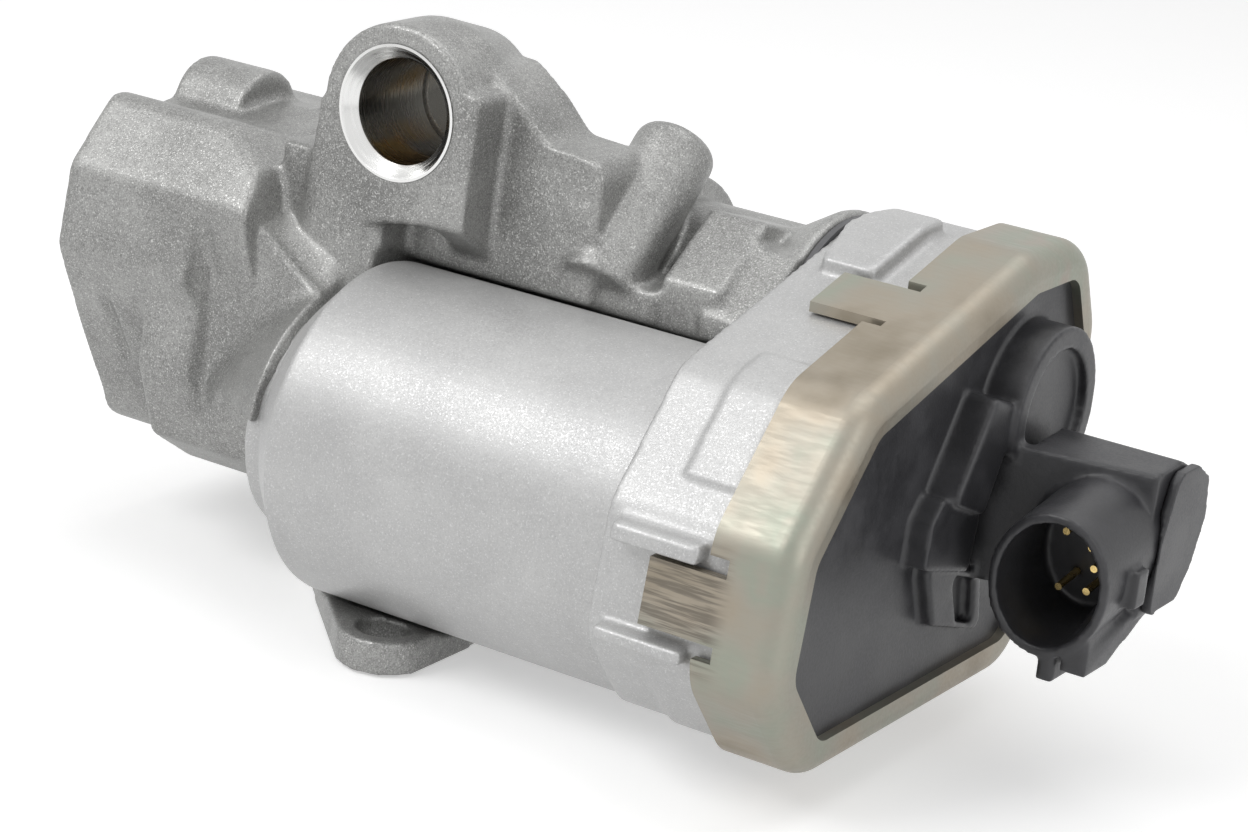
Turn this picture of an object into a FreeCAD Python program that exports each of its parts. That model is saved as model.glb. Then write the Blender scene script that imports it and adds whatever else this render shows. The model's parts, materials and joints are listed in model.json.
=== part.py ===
"""Electric exhaust gas recirculation valve: cast valve body, motor and gear housing, and clamped cover.

Millimetres. The origin is the centre of the gas inlet port, on the face of the mounting flange.
Z points up from that face. X runs along the valve stem, from the outlet port to the gear cover.
"""

import FreeCAD, Part

import math
import os

V = FreeCAD.Vector
AXES = {"x": V(1, 0, 0), "y": V(0, 1, 0), "z": V(0, 0, 1)}

# Main axes: the valve stem lies above the port, and the motor beside and below it.
VALVE_Z = 40.0
MOTOR_Y = -28.0
MOTOR_Z = 24.0

# Stations along X.
OUTLET_X = -31.0
SEAM_X = 62.0
SLEEVE_LENGTH = 53.0
HOUSING_DEPTH = 20.5
BASE_T = 4.0
GASKET_T = 0.8

# Clearances.
GAP = 0.1
RUN = 0.05
CAST_GAP = 0.4
AIR = 1.0

# Gas side.
PORT_R = 9.5
PORT_WALL = 4.5
INLET_R = 10.5
BODY_R = 17.0
BODY_L = 53.0
NECK_R = 14.2
SEAM_R = 17.6
FLARE_L = 7.0
SEAT_R = 11.6
SEAT_BORE_R = 8.6
SEAT_T = 5.0
SEAT_X = -12.0
DISC_R = 10.2
DISC_T = 3.2
LIFT = 7.0
STEM_R = 2.5
BUSH_R = 5.0
BUSH_L = 20.0
BUSH_X = 13.0
SEAL_R = 6.0
SEAL_L = 5.0

# Outlet face: the oblong chamber that takes in the valve disc, and the bolt holes, from the valve axis.
CHAMBER_HALF = 11.8
CHAMBER_LEFT = 27.5
CHAMBER_CORNER = 9.0
OUTLET_BOLTS = ((-21.5, -22.5), (-9.5, 15.0))
OUTLET_HUMP = (-9.5, 13.2)
OUTLET_BOLT_R = 2.1
OUTLET_BOLT_L = 8.0
OUTLET_EAR_R = 4.7
OUTLET_HUMP_R = 6.3
OUTLET_HUMP_L = 11.0

# Mounting flange and its three ears.
FLANGE_T = 4.2
EAR_R = 5.8
EAR_HOLE_R = 3.3
EARS = ((25.5, -38.8), (42.0, 18.0), (-22.0, 9.0))
FLANGE_WAIST = (25.0, -14.0)
FLANGE_BACK = (4.0, 20.0)

# Coolant lug.
LUG_X = 13.0
LUG_RISE = 39.5
LUG_R = 10.8
LUG_RIM = 9.0
LUG_BACK = 18.0
LUG_BACK_R = 8.4
LUG_FACE_Y = -28.0
LUG_T = 14.0
COOL_BORE_R = 6.6
COOL_CHAMFER = 1.4
COOL_DEPTH = 15.5
CROSS_R = 3.6
CROSS_IN = 11.5
CROSS_DROP = 2.0

# Closed boss that leans back beside the lug.
TALL_R = 5.2
TALL_L = 22.5
TALL_X = 38.5
TALL_FOOT = (8.5, 22.3)

# Motor sleeve and motor.
SLEEVE_R = 21.0
SLEEVE_EDGE = 4.5
SLEEVE_END_T = 2.5
COLLAR_T = 3.2
CAP_R = 15.3
CAP_T = 3.4
CAN_R = 15.5
CAN_WALL = 1.5
CAN_LENGTH = 45.0
SHAFT_R = 1.5
CORE_GAP = 0.8
CORE_L = 25.0
CORE_SLOTS = 8
MAGNET_T = 3.2
MAGNET_L = 31.0
MAGNET_SPAN = 130.0
COMMUTATOR_R = 5.0
COMMUTATOR_L = 6.0
WINDING_IN = 1.0
WINDING_L = 4.5
BEARING_R = 3.8
BEARING_L = 4.5
BRUSH_W = 4.0
BRUSH_L = 6.0
MOTOR_SCREW_ANGLES = (75.0, -35.0)
MOTOR_SCREW_R = 1.4
MOTOR_HEAD_R = 2.4
MOTOR_HEAD_T = 1.8
MOTOR_EAR_T = 1.5
MOTOR_SCREW_OUT = 2.7

# Gear train.
FINE_MODULE = 0.6
PINION_TEETH = 10
WHEEL_TEETH = 34
COARSE_MODULE = 0.9
IDLER_TEETH = 10
SECTOR_TEETH = 33
CENTRE_SLACK = 0.1
TOOTH_SLACK = 0.14
FACE_W = 3.6
SECTOR_W = 4.0
AXLE_R = 1.25
OUTPUT_RANGE = 60.0
SECTOR_MARGIN = 9.0
HUB_R = 6.0
HUB_L = 15.5

# Helical cam drum and the cross pin that runs in it.
DRUM_R = 7.5
DRUM_BORE_R = 5.2
DRUM_BUSH_T = 0.75
DRUM_BUSH_L = 3.0
PIN_R = 1.25
PIN_FROM_SEAM = 1.7
PIN_REACH = 2.0
SLOT_ENDS = (0.0, 0.08, 0.16, 0.24, 0.76, 0.84, 0.92, 1.0)

# Return spring.
WIRE_R = 0.45
SPRING_R = 4.2
SPRING_TURNS = 7
SPRING_STEPS = 20
RETAINER_T = 1.6

# Cover, clamp and seal.
LIP = 4.5
CLAMP_T = 1.2
CLAMP_DEPTH = 10.7
CLAMP_BEND = 3.0
COVER_T = 3.5
WALL_OUT = 2.9
WALL_IN = 0.7
CORNER_R = 3.5
SEAL_W = 1.4
SEAL_T = 1.1
BOSS_R = 10.5
BOSS_H = 5.2
BOSS_WALL = 2.0
BOSS_DISH = 1.2

# Screws that hold the housing to the valve body.
BODY_SCREW_R = 1.5
BODY_SCREW_RING = 11.6
BODY_SCREW_ANGLES = (45.0, 155.0, 262.0, 335.0)
BODY_SCREW_HEAD_R = 2.75
BODY_SCREW_L = 13.0

# Connector: an oval socket that looks down a little, and the block behind it.
SOCKET_LONG = 9.2
SOCKET_WIDE = 7.3
SOCKET_LEAN = 15.0
SOCKET_WALL = 1.15
SOCKET_L = 16.2
SOCKET_DEPTH = 12.5
SOCKET_TILT = 8.0
SOCKET_X = 101.3
SOCKET_Y = -3.0
SOCKET_DROP = 11.5
BLOCK_END_X = 107.9
PIN_WIRE_R = 0.45
PIN_L = 4.8
END_PLATE_T = 1.3
TERMINALS = ((-1.6, 3.4), (1.7, 2.2), (2.2, -0.3), (1.5, -3.4), (-2.0, -3.8))

# Worked out from the sizes above.
SLEEVE_X = SEAM_X - SLEEVE_LENGTH
BASE_X = SEAM_X + BASE_T
JOINT_X = SEAM_X + HOUSING_DEPTH
COVER_X = JOINT_X + COVER_T
CLAMP_FRONT_X = COVER_X + CLAMP_T
BODY_END_X = SEAM_X - GASKET_T
VALVE_AT = (0.0, VALVE_Z)
MOTOR_AT = (MOTOR_Y, MOTOR_Z)
SPAN = math.hypot(MOTOR_Y, MOTOR_Z - VALVE_Z)
TO_MOTOR = math.degrees(math.atan2(MOTOR_Z - VALVE_Z, MOTOR_Y))
FINE_CENTRES = FINE_MODULE * (PINION_TEETH + WHEEL_TEETH) / 2 + CENTRE_SLACK
COARSE_CENTRES = COARSE_MODULE * (IDLER_TEETH + SECTOR_TEETH) / 2 + CENTRE_SLACK
PIN_X = SEAM_X - PIN_FROM_SEAM
SECTOR_X = BASE_X + 1.5
WHEEL_X = SECTOR_X + SECTOR_W + 1.2
DRUM_BUSH_R = DRUM_R + RUN + DRUM_BUSH_T
DRUM_X = PIN_X - LIFT - PIN_R - DRUM_BUSH_L - 0.4
SEAL_X = BUSH_X + BUSH_L
SPRING_X = SEAL_X + SEAL_L
CAN_X = SLEEVE_X + SLEEVE_END_T + 0.5
CAN_END_X = CAN_X + CAN_LENGTH
CORE_R = CAN_R - CAN_WALL - MAGNET_T - CORE_GAP
WINDING_R = CORE_R - WINDING_IN
CLEAR_R = SLEEVE_R + CAST_GAP
LUG_Z = MOTOR_Z + LUG_RISE
MOTOR_SCREW_RING = CAN_R + MOTOR_SCREW_OUT
SOCKET_Z = VALVE_Z - SOCKET_DROP
RIDGE = (MOTOR_Y + 0.6, VALVE_Z + 17.5)


def idler_place():
    """Centre of the intermediate gear, below the line from the motor to the valve."""
    along = (FINE_CENTRES ** 2 - COARSE_CENTRES ** 2 + SPAN ** 2) / (2 * SPAN)
    aside = math.sqrt(max(FINE_CENTRES ** 2 - along ** 2, 0.0))
    uy, uz = -MOTOR_Y / SPAN, (VALVE_Z - MOTOR_Z) / SPAN
    return MOTOR_Y + along * uy + aside * uz, MOTOR_Z + along * uz - aside * uy


def points_on(axis, level, pairs):
    """Places in the plane across an axis, at a level along it."""
    if axis == "x":
        return [V(level, a, b) for a, b in pairs]
    if axis == "y":
        return [V(a, level, b) for a, b in pairs]
    return [V(a, b, level) for a, b in pairs]


def rounded_wire(corners, radius):
    """Closed wire through the corners, each rounded with an arc."""
    count = len(corners)
    bends = []
    for i, corner in enumerate(corners):
        back = (corners[i - 1] - corner).normalize()
        ahead = (corners[(i + 1) % count] - corner).normalize()
        half = back.getAngle(ahead) / 2
        reach = radius / math.tan(half)
        middle = (back + ahead).normalize()
        crown = corner + middle * (radius / math.sin(half) - radius)
        bends.append((corner + back * reach, crown, corner + ahead * reach))
    edges = []
    for i, (first, crown, last) in enumerate(bends):
        edges.append(Part.Arc(first, crown, last).toShape())
        edges.append(Part.LineSegment(last, bends[(i + 1) % count][0]).toShape())
    return Part.Wire(edges)


def prism(axis, low, high, pairs, radius=0.0, grow=0.0):
    """Solid of a closed outline, from one level to another along an axis."""
    corners = points_on(axis, low, pairs)
    wire = rounded_wire(corners, radius) if radius else Part.makePolygon(corners + corners[:1])
    face = Part.Face(wire)
    if grow:
        face = face.makeOffset2D(grow)
    return face.extrude(AXES[axis] * (high - low))


def rod(axis, low, high, radius, place):
    """Round bar along an axis."""
    return Part.makeCylinder(radius, high - low, points_on(axis, low, [place])[0], AXES[axis])


def taper(axis, low, high, radius_low, radius_high, place):
    """Cone frustum along an axis."""
    return Part.makeCone(radius_low, radius_high, high - low, points_on(axis, low, [place])[0], AXES[axis])


def tube(axis, low, high, outer, inner, place):
    """Round bar with a bore."""
    return rod(axis, low, high, outer, place).cut(rod(axis, low - AIR, high + AIR, inner, place))


def block(x0, x1, y0, y1, z0, z1):
    """Box between its lowest and highest corners."""
    return Part.makeBox(x1 - x0, y1 - y0, z1 - z0, V(x0, y0, z0))


def around(place, radius, degrees):
    """Place at a radius and angle about a centre, from +Y towards +Z."""
    turn = math.radians(degrees)
    return place[0] + radius * math.cos(turn), place[1] + radius * math.sin(turn)


def fuse(shapes):
    """One solid from several that overlap, joined in turn."""
    whole = shapes[0]
    for shape in shapes[1:]:
        whole = whole.fuse(shape)
    return whole


def cover_outline():
    """Outline of the opening in the clamp: round the motor at one end and the output gear at the other."""
    bottom = MOTOR_Z - 14.5
    return [
        (MOTOR_Y - 14.0, bottom),
        (MOTOR_Y - 22.0, MOTOR_Z - 5.0),
        (MOTOR_Y - 20.0, MOTOR_Z + 8.0),
        (MOTOR_Y - 9.0, MOTOR_Z + 20.2),
        (-1.0, VALVE_Z + 14.0),
        (10.0, VALVE_Z + 14.0),
        (14.0, VALVE_Z + 6.0),
        (14.0, MOTOR_Z - 4.0),
        (3.0, bottom),
    ]


def cover_prism(low, high, grow):
    """Prism of the cover's outline, grown or shrunk."""
    return prism("x", low, high, cover_outline(), CORNER_R, grow)


def gear_outline(teeth, module, place, first, count):
    """Points of a run of involute teeth, the first tooth centred at an angle."""
    pitch_r = module * teeth / 2
    base_r = pitch_r * math.cos(math.radians(20))
    pitch_half = math.pi / 2 / teeth - TOOTH_SLACK * module / pitch_r / 2

    def half_at(radius):
        grip = math.acos(min(base_r / radius, 1.0))
        ground = math.acos(base_r / pitch_r)
        return pitch_half + (math.tan(ground) - ground) - (math.tan(grip) - grip)

    radii = (pitch_r - 1.2 * module, pitch_r, pitch_r + 0.85 * module)
    outline = []
    for tooth in range(count):
        middle = first + 360.0 * tooth / teeth
        for side, order in ((-1, radii), (1, radii[::-1])):
            for radius in order:
                aside = math.degrees(half_at(max(radius, base_r)))
                outline.append(around(place, radius, middle + side * aside))
    return outline


def gear(teeth, module, low, high, place, tooth_at):
    """Full gear with one tooth centred at an angle."""
    return prism("x", low, high, gear_outline(teeth, module, place, tooth_at, teeth))


def screw(low, high, place, radius, head_r, head_t):
    """Screw along X with a pan head and a hexagon socket, the head at the high end."""
    shank = rod("x", low, high, radius, place)
    head = rod("x", high, high + head_t, head_r, place)
    key = [around(place, head_r * 0.5, 60.0 * i) for i in range(6)]
    socket = prism("x", high + head_t * 0.4, high + head_t + AIR, key)
    return shank.fuse(head).cut(socket)


def mounting_flange():
    """Flat flange with three ears, drawn in at the waist beside the front ear."""
    pairs = (EARS[0], FLANGE_WAIST, EARS[1], FLANGE_BACK, EARS[2])
    return prism("z", 0.0, FLANGE_T, pairs, 0.0, EAR_R)


def from_valve(pairs):
    """Places across X given from the valve axis."""
    return [(y, VALVE_Z + z) for y, z in pairs]


def from_motor(pairs):
    """Places across X given from the motor axis."""
    return [(MOTOR_Y + y, MOTOR_Z + z) for y, z in pairs]


def gas_box():
    """Box of the outlet, with a ridge along its front and a slanted flank on the motor side."""
    outline = [RIDGE] + from_valve([
        (-35.2, 9.0), (-36.8, -1.5), (-31.0, -14.0), (-26.0, -23.5), (-15.0, -29.0), (2.0, -31.0),
        (15.0, -22.5), (18.0, -8.5), (16.0, 6.0), (8.0, 13.0), (-8.0, 15.5), (-19.0, 14.5),
    ])
    flank = [
        (OUTLET_X, VALVE_Z - 38.0), (OUTLET_X, VALVE_Z + 26.0), (-15.0, VALVE_Z + 26.0), (-12.0, VALVE_Z + 17.0),
        (-3.5, VALVE_Z + 12.5), (-2.5, VALVE_Z + 7.0), (-7.0, VALVE_Z - 3.0), (-13.0, VALVE_Z - 20.0),
        (-15.0, VALVE_Z - 38.0),
    ]
    box = prism("x", OUTLET_X, 2.0, outline, 3.2)
    return box.common(prism("y", MOTOR_Y - 12.0, BODY_R + 5.0, flank, 4.5))


def sleeve_collar():
    """Saddle of the body behind the upper end of the sleeve."""
    collar = rod("x", SLEEVE_X - 15.0, SLEEVE_X + 1.5, SLEEVE_R + COLLAR_T, MOTOR_AT)
    reach = from_motor([(0.0, 5.0), (24.0, 18.0), (14.0, 30.0), (-12.0, 30.0), (-30.0, 14.0)])
    return collar.common(prism("x", SLEEVE_X - 16.0, SLEEVE_X + 2.0, reach))


def outlet_bolts():
    """Bolt holes of the outlet face, one low at the front and one high at the back."""
    return from_valve(OUTLET_BOLTS)


def outlet_ears():
    """Material round the two bolt holes: an ear at the low one and a hump at the high one."""
    low = outlet_bolts()[0]
    hump = from_valve([OUTLET_HUMP])[0]
    return [
        rod("x", OUTLET_X, OUTLET_X + OUTLET_BOLT_L + 4.0, OUTLET_EAR_R, low),
        rod("x", OUTLET_X, OUTLET_X + OUTLET_HUMP_L, OUTLET_HUMP_R, hump),
    ]


def neck_block():
    """Thick web that joins the outlet box to the saddle, in front of the sleeve's cap."""
    outline = from_motor([
        (-6.5, 13.0), (-7.5, 2.0), (-4.0, -8.0), (4.0, -13.0), (16.0, -14.0), (28.0, -12.0), (28.0, 14.0), (8.0, 16.0),
    ])
    return prism("x", SEAT_X - 6.0, SLEEVE_X - CAP_T - 1.6, outline, 2.5)


def coolant_lug():
    """Lug of the coolant port, with its webs down to the shelf and back to the body."""
    foot = [
        (LUG_X - 12.8, LUG_Z - 15.9), (LUG_X - 11.4, LUG_Z), (LUG_X + 7.5, LUG_Z + 4.4),
        (LUG_X + 11.9, LUG_Z + 4.4), (LUG_X + 10.8, LUG_Z - 12.1),
    ]
    web = from_motor([(0.0, 27.0), (0.0, 43.5), (14.0, 41.0), (20.0, 20.0), (8.0, 21.9)])
    shoulder = [
        (LUG_X - 11.4, LUG_Z - 24.0), (LUG_X - 11.4, LUG_Z), (LUG_X - 6.0, LUG_Z + 6.8), (LUG_X + 9.0, LUG_Z + 6.3),
        (LUG_X + 14.0, LUG_Z + 2.6), (LUG_X + 17.5, LUG_Z - 1.0), (LUG_X + 26.0, LUG_Z - 1.6),
        (LUG_X + 26.0, LUG_Z - 24.0),
    ]
    saddle = [
        (LUG_X - 13.0, LUG_Z - 24.0), (LUG_X - 13.0, LUG_Z - 3.0), (LUG_X - 8.0, LUG_Z + 1.8),
        (LUG_X + 1.0, LUG_Z + 1.8), (LUG_X + 6.5, LUG_Z - 4.5), (LUG_X + 20.0, LUG_Z - 5.2),
        (LUG_X + 20.0, LUG_Z - 24.0),
    ]
    rim_y = LUG_FACE_Y + LUG_RIM
    return [
        rod("y", LUG_FACE_Y, rim_y, LUG_R, (LUG_X, LUG_Z)),
        taper("y", rim_y, LUG_FACE_Y + LUG_BACK, LUG_R, LUG_BACK_R, (LUG_X, LUG_Z)),
        prism("y", LUG_FACE_Y, LUG_FACE_Y + LUG_T, foot, 1.0),
        prism("x", LUG_X + 6.0, LUG_X + 11.0, web, 0.8),
        prism("y", LUG_FACE_Y + 6.5, LUG_FACE_Y + LUG_BACK - 1.0, shoulder, 2.5),
        prism("y", LUG_FACE_Y + LUG_T - 1.0, 0.0, saddle, 2.5),
    ]


def tall_boss():
    """Closed round boss that leans back by 45 degrees, with a rounded end."""
    foot_y, foot_z = from_motor([TALL_FOOT])[0]
    boss = Part.makeCylinder(TALL_R, TALL_L, V(TALL_X, foot_y, foot_z), V(0, 1, 1))
    end = [edge for edge in boss.Edges if edge.BoundBox.ZMin > foot_z + TALL_R]
    return boss.makeFillet(2.0, end)


def shelf():
    """Shelf along the sleeve, and the stepped blocks between the tall boss and the seam."""
    step = from_valve([(-19.2, 2.5), (-19.2, 9.5), (-9.5, 16.5), (0.0, 14.0), (0.0, 2.5)])
    low_step = from_valve([(-20.0, 1.0), (-20.0, 6.6), (-12.0, 14.0), (0.0, 13.0), (0.0, 1.0)])
    return [
        prism("x", LUG_X + 12.0, LUG_X + 34.0, from_motor([(8.0, 18.0), (8.0, 23.7), (28.0, 23.7), (28.0, 18.0)])),
        prism("x", LUG_X + 34.0, BODY_END_X - 6.0, step),
        prism("x", LUG_X + 40.0, BODY_END_X, low_step),
    ]


def body_solid():
    """Outside of the body casting, before it is bored."""
    shapes = [
        mounting_flange(),
        rod("z", 0.0, VALVE_Z, PORT_R + PORT_WALL, (0.0, 0.0)),
        rod("x", -14.0, BODY_L - 15.0, BODY_R, VALVE_AT),
        rod("x", BODY_L - 16.0, BODY_END_X - 1.0, NECK_R, VALVE_AT),
        taper("x", BODY_END_X - FLARE_L, BODY_END_X - 1.5, NECK_R, SEAM_R, VALVE_AT),
        rod("x", BODY_END_X - 1.5, BODY_END_X, SEAM_R, VALVE_AT),
        gas_box(),
        sleeve_collar(),
        neck_block(),
        tall_boss(),
        block(18.0, 46.0, 3.0, 9.0, FLANGE_T - AIR, VALVE_Z - 8.0),
    ]
    shapes += outlet_ears() + coolant_lug() + shelf()
    return fuse(shapes)


def body_tools():
    """Bores of the seat, guide, seal and cam drum, and the ports and holes."""
    chamber_end = SEAT_X - SEAT_T
    chamber = from_valve([
        (-CHAMBER_LEFT, -CHAMBER_HALF), (-CHAMBER_LEFT, CHAMBER_HALF),
        (CHAMBER_HALF, CHAMBER_HALF), (CHAMBER_HALF, -CHAMBER_HALF),
    ])
    mouth_r = COOL_BORE_R + COOL_CHAMFER
    lug_at = (LUG_X, LUG_Z)
    tools = [
        rod("x", SLEEVE_X - 0.6, BODY_END_X + AIR, CLEAR_R, MOTOR_AT),
        rod("x", SLEEVE_X - CAP_T - 1.5, SLEEVE_X, CAP_R + CAST_GAP, MOTOR_AT),
        rod("z", -AIR, VALVE_Z, PORT_R, (0.0, 0.0)),
        prism("x", OUTLET_X - AIR, chamber_end, chamber, CHAMBER_CORNER),
        rod("x", chamber_end - AIR, SEAT_X, SEAT_R, VALVE_AT),
        rod("x", SEAT_X - AIR, BUSH_X - 2.0, INLET_R, VALVE_AT),
        rod("x", BUSH_X - 4.0, SEAL_X + AIR, BUSH_R, VALVE_AT),
        rod("x", SEAL_X, SPRING_X + AIR, SEAL_R, VALVE_AT),
        rod("x", SPRING_X, BODY_END_X + AIR, DRUM_BUSH_R, VALVE_AT),
        rod("y", LUG_FACE_Y - AIR, LUG_FACE_Y + COOL_DEPTH, COOL_BORE_R, lug_at),
        taper("y", LUG_FACE_Y - 0.01, LUG_FACE_Y + COOL_CHAMFER, mouth_r, COOL_BORE_R, lug_at),
        rod("x", LUG_X, LUG_X + 12.0, CROSS_R, (LUG_FACE_Y + CROSS_IN, LUG_Z - CROSS_DROP)),
    ]
    tools += [rod("z", -AIR, FLANGE_T + AIR, EAR_HOLE_R, ear) for ear in EARS]
    tools += [rod("x", OUTLET_X - AIR, OUTLET_X + OUTLET_BOLT_L, OUTLET_BOLT_R, place) for place in outlet_bolts()]
    tools += pin_grooves(PIN_X - LIFT - PIN_R - 0.25, BODY_END_X + AIR)
    tools += [
        rod("x", BASE_X - BODY_SCREW_L, BODY_END_X + AIR, BODY_SCREW_R + GAP, place)
        for place in body_screw_places()
    ]
    return tools


def make_valve_body():
    """Casting of the gas passages."""
    return body_solid().cut(body_tools())


def pin_angles():
    """The cross pin lies square to the line from the valve to the motor."""
    return TO_MOTOR + 90.0, TO_MOTOR - 90.0


def pin_grooves(low, high):
    """Straight grooves that keep the cross pin from turning."""
    half = PIN_R + RUN + 0.05
    grooves = []
    for angle in pin_angles():
        groove = block(low, high, 0.0, DRUM_BUSH_R + PIN_REACH, -half, half)
        groove.rotate(V(0, 0, 0), V(1, 0, 0), angle)
        groove.translate(V(0, 0, VALVE_Z))
        grooves.append(groove)
    return grooves


def body_screw_places():
    return [around(VALVE_AT, BODY_SCREW_RING, angle) for angle in BODY_SCREW_ANGLES]


def motor_screw_places():
    return [around(MOTOR_AT, MOTOR_SCREW_RING, angle) for angle in MOTOR_SCREW_ANGLES]


def make_seat_ring():
    ring = tube("x", SEAT_X - SEAT_T, SEAT_X, SEAT_R, SEAT_BORE_R, VALVE_AT)
    return ring.cut(taper("x", SEAT_X - SEAT_T - 0.01, SEAT_X - SEAT_T + 0.8, SEAT_BORE_R + 0.8, SEAT_BORE_R, VALVE_AT))


def make_guide_bush():
    return tube("x", BUSH_X - 3.0, SEAL_X - 0.5, BUSH_R, STEM_R + 0.03, VALVE_AT)


def make_stem_seal():
    ring = tube("x", SEAL_X, SPRING_X, SEAL_R, STEM_R + 0.05, VALVE_AT)
    return ring.cut(tube("x", SPRING_X - 2.5, SPRING_X + AIR, SEAL_R - 1.2, STEM_R + 1.0, VALVE_AT))


def make_valve_stem():
    """Stem with the cross hole for its pin, and a shoulder that carries the disc."""
    tip_x = SEAT_X - SEAT_T - DISC_T
    stem = rod("x", tip_x - 1.5, PIN_X + PIN_R + 1.6, STEM_R, VALVE_AT)
    stem = stem.fuse(rod("x", tip_x + DISC_T - RUN, tip_x + DISC_T + 2.0, STEM_R + 1.5, VALVE_AT))
    return stem.cut(cross_pin())


def make_valve_disc():
    tip_x = SEAT_X - SEAT_T - DISC_T - RUN
    disc = rod("x", tip_x + 1.2, tip_x + DISC_T, DISC_R, VALVE_AT)
    disc = disc.fuse(taper("x", tip_x, tip_x + 1.2, STEM_R + 2.0, DISC_R, VALVE_AT))
    return disc.cut(rod("x", tip_x - AIR, tip_x + DISC_T + AIR, STEM_R, VALVE_AT))


def cross_pin():
    reach = DRUM_BUSH_R + PIN_REACH - 0.3
    pin = Part.makeCylinder(PIN_R, 2 * reach, V(PIN_X, -reach, 0), V(0, 1, 0))
    pin.rotate(V(0, 0, 0), V(1, 0, 0), pin_angles()[0])
    pin.translate(V(0, 0, VALVE_Z))
    return pin


def retainer_x():
    return PIN_X - PIN_R - RETAINER_T


def make_spring_retainer():
    return tube("x", retainer_x(), PIN_X - PIN_R, SPRING_R + WIRE_R, STEM_R, VALVE_AT)


def make_return_spring():
    """Coil spring between the stem seal and the retainer, in short straight steps."""
    length = retainer_x() - SPRING_X - 2 * WIRE_R - 2 * RUN
    steps = SPRING_TURNS * SPRING_STEPS
    corners = [around((SPRING_R, 0.0), WIRE_R, 60.0 * i) for i in range(7)]
    sections = []
    for i in range(steps + 1):
        section = Part.makePolygon([V(along, out, 0) for out, along in corners])
        section.rotate(V(0, 0, 0), V(1, 0, 0), 360.0 * i / SPRING_STEPS)
        section.translate(V(SPRING_X + WIRE_R + RUN + length * i / steps, 0, VALVE_Z))
        sections.append(section)
    return Part.makeLoft(sections, True, True)


def slot_cutter(angle):
    """Helical cutter of one slot, from the pin's closed place to its open place."""
    pitch = LIFT * 360.0 / OUTPUT_RANGE
    half = PIN_R + RUN + 0.08
    lead = math.atan2(pitch, 2 * math.pi * DRUM_BORE_R)
    wide = half / math.cos(lead)
    inner, outer = DRUM_BORE_R - AIR, DRUM_R + AIR
    helix = Part.makeHelix(pitch, LIFT, DRUM_R)
    corners = [V(inner, 0, -wide), V(outer, 0, -wide), V(outer, 0, wide), V(inner, 0, wide)]
    profile = Part.makePolygon(corners + corners[:1])
    sweep = Part.Wire(helix).makePipeShell([profile], True, True)
    ends = []
    for share in SLOT_ENDS:
        end = Part.makeCylinder(half, outer - inner, V(inner, 0, LIFT * share), V(1, 0, 0))
        end.rotate(V(0, 0, 0), V(0, 0, 1), OUTPUT_RANGE * share)
        ends.append(end)
    cutter = sweep.multiFuse(ends)
    cutter.rotate(V(0, 0, 0), V(0, 1, 0), 90.0)
    cutter.rotate(V(0, 0, 0), V(1, 0, 0), angle + 90.0 - OUTPUT_RANGE)
    cutter.translate(V(PIN_X - LIFT, 0, VALVE_Z))
    return cutter


def make_cam_drum():
    """Drum with two helical slots that push the cross pin along."""
    drum = tube("x", DRUM_X, SECTOR_X, DRUM_R, DRUM_BORE_R, VALVE_AT)
    return drum.cut([slot_cutter(angle) for angle in pin_angles()])


def make_drum_bushes():
    low = tube("x", DRUM_X, DRUM_X + DRUM_BUSH_L, DRUM_BUSH_R, DRUM_R + RUN, VALVE_AT)
    high = tube("x", SEAM_X, BASE_X, DRUM_BUSH_R, DRUM_R + RUN, VALVE_AT)
    return Part.makeCompound([low, high])


def mesh_angle(centre, other):
    """Direction from one gear's centre to another's."""
    return math.degrees(math.atan2(other[1] - centre[1], other[0] - centre[0]))


def make_output_gear():
    """Toothed sector on a hub, with the seat of the sensor's magnet."""
    idler = idler_place()
    towards = mesh_angle(VALVE_AT, idler)
    pitch = 360.0 / SECTOR_TEETH
    before = int((OUTPUT_RANGE + SECTOR_MARGIN) // pitch) + 1
    after = int(SECTOR_MARGIN // pitch) + 1
    first = towards - (before - 0.5) * pitch
    count = before + after
    teeth = gear_outline(SECTOR_TEETH, COARSE_MODULE, VALVE_AT, first, count)
    web = [around(VALVE_AT, HUB_R - 1.0, first + i * (count - 1) * pitch / 4) for i in range(4, -1, -1)]
    sector = prism("x", SECTOR_X, SECTOR_X + SECTOR_W, teeth + web)
    hub = rod("x", SECTOR_X, SECTOR_X + HUB_L + 2.0, HUB_R, VALVE_AT)
    flange = rod("x", SECTOR_X, SECTOR_X + SECTOR_W, DRUM_R + 1.0, VALVE_AT)
    gear_part = fuse([hub, flange, sector])
    return gear_part.cut([
        rod("x", SECTOR_X - AIR, SECTOR_X + 2.0, DRUM_BORE_R - 1.0, VALVE_AT),
        tube("x", SECTOR_X + HUB_L - 1.0, SECTOR_X + HUB_L + 3.0, HUB_R + AIR, HUB_R - 2.0, VALVE_AT),
    ])


def make_sensor_magnet():
    return tube("x", SECTOR_X + HUB_L - 1.0, SECTOR_X + HUB_L + 2.0, HUB_R, HUB_R - 2.0, VALVE_AT)


def make_intermediate_gear():
    """Large wheel driven by the pinion, with the small gear that drives the sector."""
    idler = idler_place()
    wheel_at = mesh_angle(idler, MOTOR_AT) + 180.0 / WHEEL_TEETH
    small_at = mesh_angle(idler, VALVE_AT)
    wheel = gear(WHEEL_TEETH, FINE_MODULE, WHEEL_X, WHEEL_X + FACE_W, idler, wheel_at)
    small = gear(IDLER_TEETH, COARSE_MODULE, SECTOR_X - 0.2, WHEEL_X, idler, small_at)
    hub = rod("x", SECTOR_X - 0.8, WHEEL_X + FACE_W + 1.0, 2.8, idler)
    whole = fuse([wheel, small, hub])
    return whole.cut(rod("x", SECTOR_X - 5.0, WHEEL_X + FACE_W + 5.0, AXLE_R + RUN, idler))


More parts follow.
